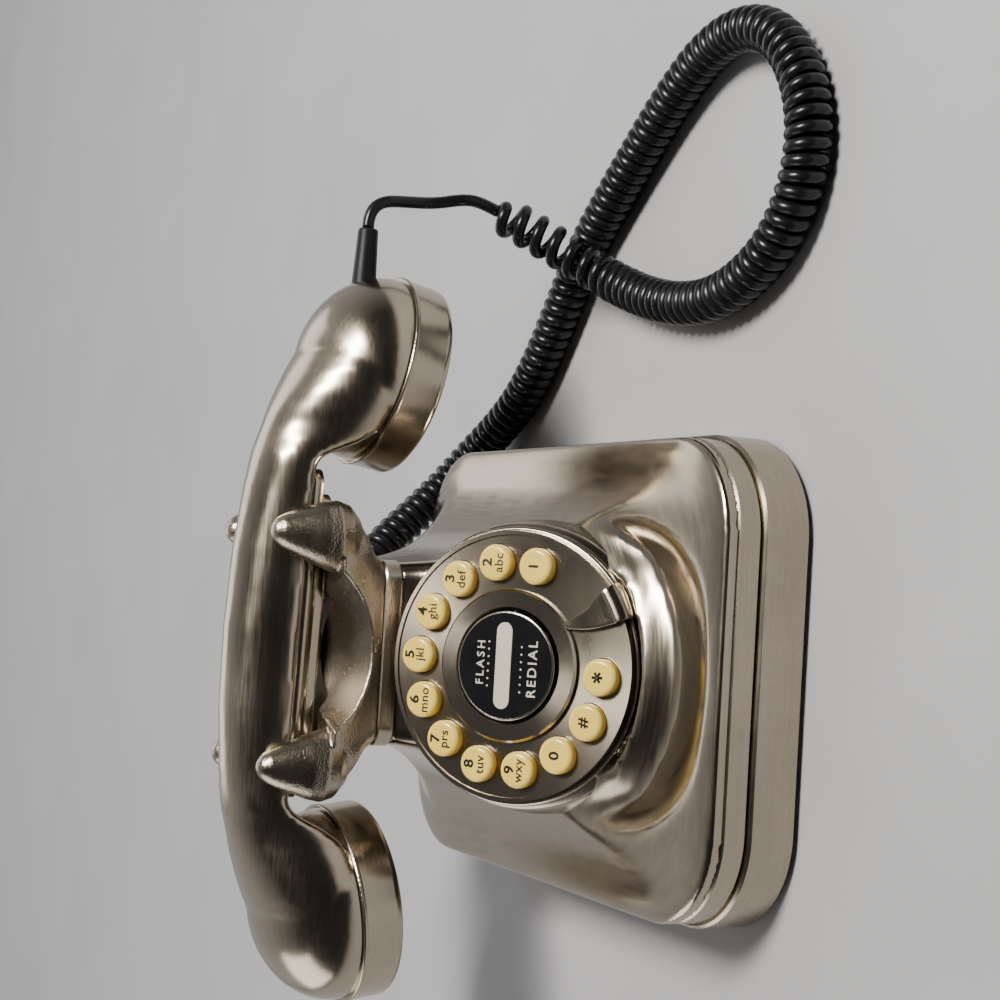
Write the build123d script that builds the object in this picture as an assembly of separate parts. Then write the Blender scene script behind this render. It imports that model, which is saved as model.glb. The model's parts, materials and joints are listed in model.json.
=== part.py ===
"""Desk telephone with a ring of push keys laid out like a dial.

Millimetres. Origin: centre of the base on the desk. +X is the caller's right, -Y the front, +Z up.
Every separate piece is its own solid and is written to parts/NODE.step.
"""

from build123d import *
import os
from math import cos, pi, radians, sin, tan

os.makedirs("parts", exist_ok=True)

# ---------------------------------------------------------------- driving dimensions
BASE_W, BASE_D, BASE_R = 146.0, 205.0, 31.0  # footprint and its corner radius
BAND_BOTTOM, BAND_TOP, RIM_TOP = 1.5, 17.0, 25.2  # heights of the two trim bands
BAND_WALL = 3.0
RIM_INSET = 1.5  # each layer steps in by this
GROOVE = 0.8
PLATE_T = 3.0
SHELL_WALL = 2.6

NECK_Y = 47.0  # centre of the neck, cradle and handset
NECK_TOP, COLLAR_TOP = 76.0, 82.0
NECK_HALF = 29.5

DIAL_CENTRE = (0.0, -30.4, 59.2)
DIAL_TILT = 34.4  # dial face, degrees from level
DIAL_R = 41.4
DRUM_R, DRUM_WALL = 41.8, 2.8
PLATE_DIAL_T = 2.0
BEZEL_T = 2.2
KEY_COUNT, KEY_CIRCLE_R, KEY_R = 12, 31.8, 5.65
KEY_START, KEY_STEP = -15.0, 25.7  # degrees, counter-clockwise from the caller's right
KEY_PROUD = 3.4
KEY_GAP = 0.3
FLANGE_R, FLANGE_T = 6.5, 1.0
INNER_RING_R, INNER_RING_H = 23.5, 2.0
BUTTON_R, BUTTON_BORE_R, BUTTON_PROUD = 16.7, 17.3, 3.0
ROCKER_N = -2.5  # rocker pin, along the dial normal

HORN_X, HORN_TIP_Y = 37.7, 22.7
HORN_TOP = 119.4
SADDLE_FLOOR = 94.5
PLUNGER_TOP = 96.3

HANDSET_X, HANDSET_TILT = 5.0, 1.4  # how the handset lies in the cradle
EAR_X, EAR_Z, EAR_TILT = 90.0, 81.4, 9.7  # cap centres in the handset's own frame
DOME_R, DOME_H = 31.2, 26.0
CAP_R, CAP_H, CAP_WALL = 32.6, 14.6, 2.4
HANDLE_BOTTOM = 100.0
BOOT_L, BOOT_R1, BOOT_R2 = 20.0, 4.2, 3.4
BOOT_X, BOOT_Z = 117.7, 86.9  # where the boot leaves the shell

WIRE_D, COIL_D = 4.2, 14.6
JACK_Z = 60.0

DIAL = Plane(
    origin=DIAL_CENTRE,
    x_dir=(1, 0, 0),
    z_dir=(0, -sin(radians(DIAL_TILT)), cos(radians(DIAL_TILT))),
)
HANDSET = Pos(HANDSET_X, 0, HANDLE_BOTTOM) * Rot(0, HANDSET_TILT, 0) * Pos(0, 0, -HANDLE_BOTTOM)


# ---------------------------------------------------------------- shared shapes
def save(node, shape):
    """Write one node."""
    export_step(shape, f"parts/{node}.step")


def slab(width, depth, radius, z0, z1, y=0.0):
    """Rounded rectangle standing from z0 to z1."""
    return Pos(0, y, z0) * extrude(RectangleRounded(width, depth, radius), z1 - z0)


def post(x, y, radius, z0, z1):
    """Upright cylinder from z0 to z1."""
    return Pos(x, y, (z0 + z1) / 2) * Cylinder(radius, z1 - z0)


def block(x0, x1, y0, y1, z0, z1):
    """Box between two corners."""
    return Pos((x0 + x1) / 2, (y0 + y1) / 2, (z0 + z1) / 2) * Box(x1 - x0, y1 - y0, z1 - z0)


def tube(radius, bore, z0, z1):
    """Ring about the local Z axis."""
    return post(0, 0, radius, z0, z1) - post(0, 0, bore, z0 - 1, z1 + 1)


def screw(x, y, z, head_r, head_h, shank_r, length):
    """Pan-head screw pointing up, with its head under z."""
    drive = Pos(x, y, z - head_h) * Cylinder(head_r * 0.45, head_h)
    return post(x, y, head_r, z - head_h, z) + post(x, y, shank_r, z, z + length) - drive


def corners(x, y):
    """The four corner points of a rectangle."""
    return [(sx * x, sy * y) for sx in (-1, 1) for sy in (-1, 1)]


# ---------------------------------------------------------------- base
POST_X, POST_Y, POST_R = 40.0, 72.0, 4.5
FOOT_X, FOOT_Y, FOOT_R, FOOT_H = 53.0, 80.0, 7.0, 2.5
PLATE_TOP = BAND_BOTTOM + PLATE_T
LEDGE_T = 1.5
BOARD_Z, BOARD_T, BOARD_Y = 14.0, 1.6, 30.0
STANDOFF_X, STANDOFF_Y = 42.0, 27.0
LINE_JACK_X, SWITCH_XS = -24.0, {"ringer_switch": 6.0, "tone_pulse_switch": 27.0}
SWITCH_Z, SWITCH_THROW = 11.0, 2.0
REAR = BASE_D / 2


def inset(amount):
    """Width, depth and corner radius of the footprint pulled in by amount."""
    return BASE_W - 2 * amount, BASE_D - 2 * amount, BASE_R - amount


def base_band():
    outer = slab(*inset(0), BAND_BOTTOM, BAND_TOP)
    outer = chamfer(outer.faces().sort_by(Axis.Z)[-1].edges(), GROOVE)
    outer = fillet(outer.faces().sort_by(Axis.Z)[0].edges(), 1.2)
    ring = outer - slab(*inset(BAND_WALL), 0, BAND_TOP + 1)
    ledge = slab(*inset(BAND_WALL - 0.5), PLATE_TOP, PLATE_TOP + LEDGE_T)
    ring += ledge - slab(*inset(BAND_WALL + 3.5), PLATE_TOP - 1, PLATE_TOP + LEDGE_T + 1)
    ring -= block(LINE_JACK_X - 6.8, LINE_JACK_X + 6.8, REAR - 9, REAR + 1, 4.4, 16.0)
    for x in SWITCH_XS.values():
        ring -= block(x - 4.5, x + 4.5, REAR - 5, REAR + 1, SWITCH_Z - 2, SWITCH_Z + 2)
    return ring


def middle_band():
    outer = slab(*inset(RIM_INSET), BAND_TOP, RIM_TOP)
    outer = chamfer(outer.faces().sort_by(Axis.Z)[-1].edges(), GROOVE)
    outer = chamfer(outer.faces().sort_by(Axis.Z)[0].edges(), GROOVE)
    return outer - slab(*inset(RIM_INSET + BAND_WALL), BAND_TOP - 1, RIM_TOP + 1)


def bottom_plate():
    plate = slab(*inset(BAND_WALL + 0.2), BAND_BOTTOM, PLATE_TOP)
    for x, y in corners(FOOT_X, FOOT_Y):
        plate -= post(x, y, FOOT_R + 0.1, 0, BAND_BOTTOM + 1.0)
    for x, y in corners(POST_X, POST_Y):
        plate -= post(x, y, 3.1, 0, BAND_BOTTOM + 1.8)
        plate -= post(x, y, 1.7, 0, PLATE_TOP + 1)
    for x, y in corners(STANDOFF_X, STANDOFF_Y):
        plate += post(x, y + BOARD_Y, 3.0, PLATE_TOP, BOARD_Z) - post(x, y + BOARD_Y, 1.3, 6, BOARD_Z + 1)
    for column in range(-4, 5):
        plate -= block(column * 6 - 1, column * 6 + 1, -62, -42, 0, PLATE_TOP + 1)
    return plate


def bottom_screws():
    z = BAND_BOTTOM + 1.8
    return Compound(children=[screw(x, y, z, 2.8, 1.6, 1.5, 13.0) for x, y in corners(POST_X, POST_Y)])


def rubber_feet():
    foot = fillet(post(0, 0, FOOT_R, 0, FOOT_H).faces().sort_by(Axis.Z)[0].edges(), 0.6)
    return Compound(children=[Pos(x, y, 0) * foot for x, y in corners(FOOT_X, FOOT_Y)])


def base_weight():
    bar = block(-34.5, 34.5, -94, -66, PLATE_TOP, PLATE_TOP + 8)
    return fillet(bar.edges().filter_by(Axis.Z), 3)


def ringer():
    """Round loudspeaker over the slots in the bottom plate."""
    z = PLATE_TOP
    can = post(0, -52, 13.5, z, z + 4) + post(0, -52, 9, z + 4, z + 9)
    return can - post(0, -52, 11.5, z - 1, z + 2)


def main_board():
    top = BOARD_Z + BOARD_T
    board = block(-48, 48, BOARD_Y - 33, BOARD_Y + 33, BOARD_Z, top)
    for x, y in corners(STANDOFF_X, STANDOFF_Y):
        board -= post(x, y + BOARD_Y, 1.5, 0, top + 1)
    board += block(-12, 12, 20, 34, top, top + 2.4)
    board += block(18, 34, 8, 18, top, top + 4)
    for x in (-34, -26, -18):
        board += post(x, 46, 3, top, top + 8)
    return board


def board_screws():
    """Four pan-head screws driven down into the standoffs."""
    top = BOARD_Z + BOARD_T
    one = post(0, 0, 2.6, top, top + 1.5) + post(0, 0, 1.2, top - 8, top)
    places = corners(STANDOFF_X, STANDOFF_Y)
    return Compound(children=[Pos(x, y + BOARD_Y, 0) * one for x, y in places])


def line_jack():
    body = block(LINE_JACK_X - 6.6, LINE_JACK_X + 6.6, REAR - 14, REAR - 0.2, 4.6, 15.8)
    body -= block(LINE_JACK_X - 4.9, LINE_JACK_X + 4.9, REAR - 12, REAR + 1, 5.8, 12.4)
    body -= block(LINE_JACK_X - 1.6, LINE_JACK_X + 1.6, REAR - 12, REAR + 1, 12.4, 14.2)
    return body


def switch_housing():
    """Both slide switches' bodies on their own small board behind the rear wall."""
    y1 = REAR - BAND_WALL
    housing = block(-4, 36, y1 - 7.6, y1 - 6, SWITCH_Z - 4.5, SWITCH_Z + 4.5)
    for x in SWITCH_XS.values():
        housing += block(x - 6, x + 6, y1 - 6, y1 - 0.1, SWITCH_Z - 3, SWITCH_Z + 3)
        housing -= block(x - 4.4, x + 4.4, y1 - 4, y1 + 1, SWITCH_Z - 1.9, SWITCH_Z + 1.9)
    return housing


def switch_knob(x):
    y1 = REAR - BAND_WALL
    rest_x = x - SWITCH_THROW
    knob = block(rest_x - 2, rest_x + 2, y1 - 3.8, REAR + 0.8, SWITCH_Z - 1.7, SWITCH_Z + 1.7)
    return fillet(knob.faces().sort_by(Axis.Y)[-1].edges(), 0.5)


# ---------------------------------------------------------------- body shell
# height, half width, front y, rear y, corner radius: a bell that sweeps in from the rim to the neck
BODY_STATIONS = [
    (28.5, 71.4, -100.9, 100.9, 29.4),
    (29.9, 68.4, -97.8, 98.4, 27.0),
    (31.6, 60.5, -89.0, 95.0, 24.0),
    (34.4, 53.0, -73.0, 91.8, 20.0),
    (38.2, 46.8, -53.0, 89.0, 16.0),
    (43.0, 41.4, -34.0, 86.4, 13.0),
    (49.0, 37.0, -17.0, 83.6, 10.5),
    (57.0, 33.4, -1.5, 80.8, 8.5),
    (66.0, 31.0, 10.0, 78.6, 7.0),
    (NECK_TOP, NECK_HALF, 17.2, 77.0, 6.0),
]


def bell(drop, wall):
    """Body form, moved down by drop and pulled in by wall, closed down to the rim."""
    sections = []
    for z, half, front, rear, radius in BODY_STATIONS:
        width = 2 * (half - wall)
        depth = rear - front - 2 * wall
        outline = RectangleRounded(width, depth, max(radius - wall, 2))
        sections.append(Pos(0, (front + rear) / 2, z - drop) * outline)
    z, half, front, rear, radius = BODY_STATIONS[0]
    skirt = slab(2 * (half - wall), rear - front - 2 * wall, radius - wall, RIM_TOP, z - drop)
    return skirt + loft(sections)


def drum(radius, top):
    """Cylinder about the dial axis, from below the shell up to top."""
    return DIAL * post(0, 0, radius, -36, top)


def body_shell():
    bezel_seat = -PLATE_DIAL_T - BEZEL_T
    outer = bell(0, 0) + (drum(DRUM_R, bezel_seat) - block(-60, 60, -110, 60, -20, 32))
    inner = bell(2.3, SHELL_WALL) + drum(DRUM_R - DRUM_WALL, bezel_seat + 1)
    inner += slab(2 * (NECK_HALF - SHELL_WALL), 54.6, 3.4, NECK_TOP - 4, NECK_TOP + 1, NECK_Y)
    shell = outer - inner - DIAL * post(0, 0, 44.4, bezel_seat, 20)
    keep = bell(0, 0) + slab(*inset(RIM_INSET + BAND_WALL + 1), PLATE_TOP, RIM_TOP)
    for x, y in corners(POST_X, POST_Y):
        pillar = post(x, y, POST_R, PLATE_TOP, 45) & keep
        shell += pillar - post(x, y, 1.55, 0, PLATE_TOP + 13.5)
    shell -= block(-6.1, 6.1, NECK_Y + 15, 90, JACK_Z - 5.6, JACK_Z + 5.6)
    return shell


def neck_collar():
    collar = slab(60.6, 61.4, 6.8, NECK_TOP, COLLAR_TOP, NECK_Y)
    collar = chamfer(collar.faces().sort_by(Axis.Z)[0].edges(), 0.6)
    collar = chamfer(collar.faces().sort_by(Axis.Z)[-1].edges(), 0.6)
    return collar - slab(54, 55, 3.5, NECK_TOP - 1, COLLAR_TOP + 1, NECK_Y)


def handset_jack():
    body = block(-5.9, 5.9, NECK_Y + 18, 80.4, JACK_Z - 5.4, JACK_Z + 5.4)
    return body - block(-4.0, 4.0, NECK_Y + 20, 90, JACK_Z - 3.5, JACK_Z + 3.5)


# ---------------------------------------------------------------- cradle and hook
POCKET_TOP = 87.5
CHANNEL_FLOOR = 90.0
CRADLE_BOWL = [
    # height, half width, half depth, corner radius
    (COLLAR_TOP, 30.0, 30.4, 6.5),
    (84.2, 32.0, 30.8, 8.0),
    (87.0, 39.0, 31.4, 13.0),
    (91.0, 44.8, 32.2, 17.0),
    (97.5, 47.4, 32.6, 20.0),
]
# height, distance from the centre line in x and y, half sizes in x and y
HORN_STATIONS = [
    (95.5, 36.9, 24.9, 10.3, 7.3),
    (106.0, 37.3, 23.9, 8.3, 6.2),
    (115.0, 37.7, 22.8, 5.2, 4.8),
]


def horn(side_x, side_y):
    sections = []
    for z, x, y, half_x, half_y in HORN_STATIONS:
        sections.append(Pos(side_x * x, NECK_Y + side_y * y, z) * Ellipse(half_x, half_y))
    tip_r = 4.9
    tip = Pos(side_x * HORN_X, NECK_Y + side_y * HORN_TIP_Y, HORN_TOP - tip_r) * Sphere(tip_r)
    return loft(sections) + tip


def cradle():
    bowl = loft([Pos(0, NECK_Y, z) * RectangleRounded(2 * hx, 2 * hy, r) for z, hx, hy, r in CRADLE_BOWL])
    saddle = bowl - block(-60, 60, NECK_Y - 17.3, NECK_Y + 17.3, SADDLE_FLOOR, 130)
    for side_x in (-1, 1):
        for side_y in (-1, 1):
            saddle += horn(side_x, side_y)
    scoop_r, rise = 33.0, 22.5
    for side in (-1, 1):
        lip = Location((0, NECK_Y + side * 32.6, 84.6))
        cutter = Rot(side * (90 - rise), 0, 0) * Cylinder(scoop_r, 130)
        saddle -= lip * Pos(0, 0, scoop_r / cos(radians(rise))) * cutter
    saddle -= block(-28, 28, NECK_Y - 6, NECK_Y + 6, CHANNEL_FLOOR, 130)
    saddle -= block(-28.5, 28.5, NECK_Y - 20, NECK_Y + 20, COLLAR_TOP - 1, POCKET_TOP)
    saddle -= block(-4.5, 4.5, NECK_Y - 3, NECK_Y + 3, POCKET_TOP - 1, CHANNEL_FLOOR + 1)
    for x, y in corners(23.5, 9.0):
        saddle -= post(x, NECK_Y + y, 1.3, POCKET_TOP - 1, POCKET_TOP + 3.2)
    return saddle


def hook_plunger():
    head = block(-4.2, 4.2, NECK_Y - 2.7, NECK_Y + 2.7, COLLAR_TOP, PLUNGER_TOP)
    head = fillet(head.faces().sort_by(Axis.Z)[-1].edges(), 0.6)
    head -= block(-1.6, 1.6, NECK_Y - 4, NECK_Y - 1.2, 91.0, 99)
    flange = block(-6.5, 6.5, NECK_Y - 4.5, NECK_Y + 4.5, COLLAR_TOP - 1.6, COLLAR_TOP)
    return head + flange + post(0, NECK_Y, 2.0, 68.0, COLLAR_TOP - 1.6)


def hook_bracket():
    """Folded steel frame screwed up under the cradle, with legs for the switch."""
    frame = block(-19, 19, NECK_Y - 12, NECK_Y + 12, 70.5, 72)
    frame -= post(0, NECK_Y, 2.06, 60, 80)
    for side in (-1, 1):
        wall = sorted((side * 17.5, side * 19.0))
        foot = sorted((side * 17.5, side * 27.5))
        leg = sorted((side * 10.2, side * 11.7))
        frame += block(*wall, NECK_Y - 12, NECK_Y + 12, 72, POCKET_TOP)
        frame += block(*foot, NECK_Y - 12, NECK_Y + 12, POCKET_TOP - 1.5, POCKET_TOP)
        frame += block(*leg, NECK_Y - 5, NECK_Y + 5, 56, 70.5)
    for x, y in corners(23.5, 9.0):
        frame -= post(x, NECK_Y + y, 1.5, 60, POCKET_TOP + 1)
    return frame


def hook_screws():
    z = POCKET_TOP - 1.5
    return Compound(children=[screw(x, NECK_Y + y, z, 2.2, 1.4, 1.2, 4.5) for x, y in corners(23.5, 9.0)])


def hook_spring():
    """Outline of the return spring round the plunger stem, pressed short."""
    return Pos(0, NECK_Y, 0) * tube(3.9, 2.4, 72.0, COLLAR_TOP - 1.6)


def hook_switch():
    body = block(-10.0, 10.0, NECK_Y - 3.2, NECK_Y + 3.2, 56.5, 66.0)
    return body + block(-1.2, 1.2, NECK_Y - 1, NECK_Y + 1, 66.0, 67.6)


# ---------------------------------------------------------------- dial
def dial_plate():
    plate = tube(DIAL_R, BUTTON_BORE_R, -PLATE_DIAL_T, 0)
    plate += tube(DIAL_R, DIAL_R - 1.2, 0, 0.6)
    for index in range(KEY_COUNT):
        x, y = key_place(index)
        plate -= post(x, y, KEY_R + KEY_GAP, -5, 5)
    for side in (-1, 1):
        lug = sorted((side * 17.9, side * 20.3))
        plate += block(*lug, -2.5, 2.5, -4.2, -PLATE_DIAL_T)
    pin_hole = Pos(0, 0, ROCKER_N) * Rot(0, 90, 0) * Cylinder(1.0, 60)
    return DIAL * (plate - (pin_hole - tube(60, 21, -10, 10)))


def dial_bezel_ring():
    ring = tube(42.6, DRUM_R - DRUM_WALL, -PLATE_DIAL_T - BEZEL_T, -PLATE_DIAL_T)
    return DIAL * chamfer(ring.edges().filter_by(GeomType.CIRCLE).sort_by(SortBy.RADIUS)[-2:], 0.6)


def dial_inner_ring():
    ring = tube(INNER_RING_R, BUTTON_BORE_R, 0, INNER_RING_H)
    return DIAL * chamfer(ring.faces().sort_by(Axis.Z)[-1].edges(), 0.7)


def key_place(index):
    angle = radians(KEY_START + index * KEY_STEP)
    return KEY_CIRCLE_R * cos(angle), KEY_CIRCLE_R * sin(angle)


def key(index):
    x, y = key_place(index)
    low = -PLATE_DIAL_T - 0.1
    cap = post(0, 0, KEY_R, low, KEY_PROUD)
    cap = fillet(cap.faces().sort_by(Axis.Z)[-1].edges(), 1.4)
    return DIAL * Pos(x, y, 0) * (cap + post(0, 0, FLANGE_R, low - FLANGE_T, low))


def keypad_membrane():
    """Rubber dome sheet under the keys, drawn flat with the keys' travel left free."""
    return DIAL * (post(0, 0, 38.4, -5.6, -4.7) - post(0, 25, 1.6, -9, 0))


def keypad_board():
    return DIAL * post(0, 0, 38.6, -7.3, -5.7)


def keypad_retainer():
    """Ring that holds the keypad board up against the dial."""
    return DIAL * tube(38.9, 34.0, -9.5, -7.4)


def center_button():
    """Rocking disc: its upper half is one function key and its lower half the other."""
    disc = post(0, 0, BUTTON_R, -1, BUTTON_PROUD)
    disc = fillet(disc.faces().sort_by(Axis.Z)[-1].edges(), 0.8)
    disc += block(-16, 16, -2.5, 2.5, -4.0, -1)
    for y in (-11, 11):
        disc += post(0, y, 1.5, -3.9, -1)
    disc -= Pos(0, 0, ROCKER_N) * Rot(0, 90, 0) * Cylinder(1.05, 60)
    disc -= bar_outline(2.72, 2.0, 5)
    return DIAL * disc


def bar_outline(radius, z0, z1):
    """Round-ended bar across the middle of the disc."""
    return Pos(0, 0.7, z0) * extrude(SlotOverall(26.4, 2 * radius), z1 - z0)


def button_light_bar():
    return DIAL * bar_outline(2.66, 2.0, BUTTON_PROUD + 0.3)


def button_pin():
    return DIAL * Pos(0, 0, ROCKER_N) * Rot(0, 90, 0) * Cylinder(0.98, 40)


def finger_stop():
    """Fixed blade that starts at the inner ring and folds down over the dial's edge."""
    outline = Polyline(
        (12.4, -20.0), (12.8, -26.8), (14.6, -33.0), (16.6, -40.8),
        (25.9, -35.6), (22.4, -28.6), (18.8, -25.8), (15.6, -21.6), close=True,
    )
    foot = Polyline((12.4, -20.4), (12.5, -23.4), (16.6, -23.4), (15.0, -21.0), close=True)
    blade = Pos(0, 0, 0.7) * extrude(make_face(outline), 1.0)
    blade += extrude(make_face(foot), 0.7)
    lip = tube(44.0, 42.8, -3.0, 1.7) + tube(44.0, 41.6, 0.7, 1.7)
    wedge = Polyline((0, 0), (19.9, -47.0), (31.0, -40.6), close=True)
    lip = lip & Pos(0, 0, -5) * extrude(make_face(wedge), 10)
    return DIAL * (blade + lip)


# ---------------------------------------------------------------- handset
# distance from the middle, crest height, underside height, half width
HANDLE_STATIONS = [
    (0.0, 125.2, 100.0, 16.2),
    (26.0, 124.3, 100.0, 16.2),
    (46.0, 122.3, 100.0, 16.8),
    (53.0, 121.3, 96.5, 17.6),
    (60.0, 120.0, 90.0, 19.4),
    (70.0, 117.3, 87.0, 22.6),
    (79.0, 113.6, 87.0, 24.6),
    (87.0, 109.2, 87.0, 25.0),
    (94.0, 104.0, 87.0, 24.0),
]


def cap_frame(side):
    """Frame at the rim of one end of the handset, Z out of the top of the dome."""
    lean = radians(EAR_TILT)
    return Plane(
        origin=(side * EAR_X, NECK_Y, EAR_Z),
        x_dir=(cos(lean), 0, -side * sin(lean)),
        z_dir=(side * sin(lean), 0, cos(lean)),
    )


def dome(side, wall):
    """Flattened half ball above the cap's rim; the hollow one also opens downwards."""
    radius, height = DOME_R - wall, DOME_H - wall
    ball = scale(Sphere(radius), by=(1, 1, height / radius))
    shape = ball - block(-40, 40, -40, 40, -40, 0)
    if wall:
        shape += post(0, 0, radius, -5, 0)
    return cap_frame(side) * shape


def handle(wall):
    mirrored = [(-x, *rest) for x, *rest in reversed(HANDLE_STATIONS[1:])]
    sections = []
    for x, crest, under, half in mirrored + HANDLE_STATIONS:
        plane = Plane(origin=(x, NECK_Y, under + wall), x_dir=(0, 1, 0), z_dir=(1, 0, 0))
        rise = crest - under - 2 * wall
        arch = EllipticalCenterArc((0, 0), half - wall, rise, start_angle=0, arc_size=180)
        floor = Line((wall - half, 0), (half - wall, 0))
        sections.append(plane * make_face([arch, floor]))
    return loft(sections, ruled=True)


def handset_form(wall):
    return handle(wall) + dome(-1, wall) + dome(1, wall)


def handset_shell():
    shell = handset_form(0) - handset_form(2.4)
    for side in (-1, 1):
        boss = post(side * 38, NECK_Y, 3.2, HANDLE_BOTTOM, HANDLE_BOTTOM + 9)
        shell = shell + boss - post(side * 38, NECK_Y, 1.3, HANDLE_BOTTOM - 1, HANDLE_BOTTOM + 8)
    bore = Pos(BOOT_X - 2, NECK_Y, BOOT_Z) * Rot(0, 90, 0) * Cylinder(BOOT_R1 + 0.1, 20)
    return HANDSET * (shell - bore)


def handset_cover():
    cover = block(-46, 46, NECK_Y - 13.2, NECK_Y + 13.2, HANDLE_BOTTOM - 3.5, HANDLE_BOTTOM)
    cover = fillet(cover.edges().filter_by(Axis.Z), 4)
    cover = fillet(cover.faces().sort_by(Axis.Z)[0].edges(), 1)
    for side in (-1, 1):
        cover -= post(side * 38, NECK_Y, 2.5, 90, HANDLE_BOTTOM - 1.5)
        cover -= post(side * 38, NECK_Y, 1.5, 90, HANDLE_BOTTOM + 1)
    return HANDSET * cover


def handset_screws():
    z = HANDLE_BOTTOM - 1.5
    one = screw(0, NECK_Y, z, 2.3, 1.4, 1.2, 7.5)
    return Compound(children=[HANDSET * Pos(side * 38, 0, 0) * one for side in (-1, 1)])


def handset_weight():
    bar = block(-30, 30, NECK_Y - 8, NECK_Y + 8, HANDLE_BOTTOM + 2.4, HANDLE_BOTTOM + 9)
    return HANDSET * fillet(bar.edges().filter_by(Axis.Z), 3)


def cap_cup():
    """Screw-on cap: a bead at its rim, a straight wall and a rounded floor."""
    cup = post(0, 0, CAP_R, -CAP_H, 0)
    cup = fillet(cup.faces().sort_by(Axis.Z)[0].edges(), 2.6)
    bead = post(0, 0, CAP_R + 0.5, -1.6, 0)
    bead = fillet(bead.edges().filter_by(GeomType.CIRCLE), 0.7)
    return cup + bead - post(0, 0, CAP_R - CAP_WALL, CAP_WALL - CAP_H, 1)


def sound_holes(count, circle, radius):
    holes = [post(0, 0, radius, -30, -5)]
    for index in range(count):
        angle = 2 * pi * index / count
        holes.append(post(circle * cos(angle), circle * sin(angle), radius, -30, -5))
    return holes


def ear_cap():
    cap = cap_cup()
    for hole in sound_holes(6, 6.5, 1.2):
        cap -= hole
    return HANDSET * cap_frame(-1) * cap


def mouth_cap():
    """The mouthpiece has a shallow swelling on its face, towards the mouth."""
    swell_r, swell_h = 23.0, 6.0
    ball_r = (swell_r**2 + swell_h**2) / (2 * swell_h)
    ball = Pos(-2, 0, ball_r - swell_h - CAP_H) * Sphere(ball_r)
    hollow = Pos(-2, 0, ball_r - swell_h - CAP_H) * Sphere(ball_r - CAP_WALL)
    below = post(0, 0, CAP_R - 3, -CAP_H - 10, -CAP_H + 0.5)
    cap = cap_cup() + (ball & below)
    cap -= hollow & post(0, 0, CAP_R - 6, -CAP_H - 10, 0)
    for hole in sound_holes(6, 6.0, 1.2):
        cap -= hole
    return HANDSET * cap_frame(1) * cap


def receiver():
    can = post(0, 0, 18, -10.4, -5.4) + post(0, 0, 11, -5.4, -1.5)
    return HANDSET * cap_frame(-1) * can


def receiver_ring():
    """Foam ring that centres the receiver in its cap."""
    return HANDSET * cap_frame(-1) * tube(29.8, 18.2, -10.4, -6.4)


def microphone():
    can = post(0, 0, 5, -10.4, -5.4)
    return HANDSET * cap_frame(1) * can


def microphone_ring():
    """Rubber ring that carries the microphone in the mouth cap."""
    return HANDSET * cap_frame(1) * tube(29.8, 5.1, -9.4, -6.4)


def cord_boot():
    """Tapered strain relief with a flange inside the shell."""
    sleeve = Cone(BOOT_R1, BOOT_R2, BOOT_L)
    sleeve = fillet(sleeve.faces().sort_by(Axis.Z)[-1].edges(), 1.0)
    flange = Pos(0, 0, -BOOT_L / 2 - 1) * Cylinder(BOOT_R1, 3)
    place = Pos(BOOT_X + BOOT_L / 2, NECK_Y, BOOT_Z) * Rot(0, 90, 0)
    return HANDSET * place * (sleeve + flange)


# ---------------------------------------------------------------- handset cord
BOOT_END = (HANDSET * Pos(BOOT_X + BOOT_L, NECK_Y, BOOT_Z)).position
BOOT_AXIS = Vector(cos(radians(HANDSET_TILT)), 0, -sin(radians(HANDSET_TILT)))
COIL_Z = COIL_D / 2 + 0.1
PLUG_END_Y = 84.5

LEAD_ROUTE = [
    BOOT_END,
    BOOT_END + BOOT_AXIS * 4.3,
    Vector(150.9, 46.9, 81.0),
    Vector(152.7, 46.4, 77.0),
    Vector(153.1, 45.6, 70.5),
    Vector(153.7, 43.8, 60.5),
    Vector(156.0, 40.8, 51.5),
    Vector(155.2, 37.5, 46.2),
    Vector(152.4, 34.7, 41.5),
]
COIL_ROUTE = [
    Vector(152.4, 34.7, 41.5),
    Vector(147.5, 29.8, 33.3),
    Vector(141.0, 23.0, 24.0),
    Vector(133.5, 14.5, 14.5),
    Vector(127.0, 3.0, 9.0),
    Vector(121.0, -14.0, COIL_Z),
    Vector(117.0, -34.0, COIL_Z),
    Vector(116.5, -53.0, COIL_Z),
    Vector(121.0, -71.0, COIL_Z),
    Vector(130.5, -87.0, COIL_Z),
    Vector(145.5, -97.5, COIL_Z),
    Vector(163.5, -100.0, COIL_Z),
    Vector(181.0, -93.5, COIL_Z),
    Vector(194.5, -80.5, COIL_Z),
    Vector(200.5, -62.5, COIL_Z),
    Vector(197.5, -42.5, COIL_Z),
    Vector(187.0, -23.5, COIL_Z),
    Vector(172.5, -4.0, COIL_Z),
    Vector(157.0, 15.5, COIL_Z),
    Vector(141.5, 33.0, COIL_Z),
    Vector(124.0, 46.0, COIL_Z),
    Vector(107.0, 59.5, COIL_Z),
    Vector(92.5, 75.0, COIL_Z),
    Vector(82.5, 91.0, 8.0),
    Vector(73.0, 104.0, 11.5),
    Vector(62.0, 111.5, 18.0),
    Vector(51.0, 114.5, 27.5),
    Vector(40.5, 115.0, 38.5),
    Vector(30.0, 113.5, 48.5),
    Vector(19.0, 109.5, 56.0),
]
TAIL_ROUTE = [
    Vector(19.0, 109.5, 56.0),
    Vector(12.4, 107.1, 60.5),
    Vector(5.5, 103.0, 62.8),
    Vector(1.2, 97.0, 61.6),
    Vector(0.0, 90.5, JACK_Z),
    Vector(0.0, PLUG_END_Y, JACK_Z),
]


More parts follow.
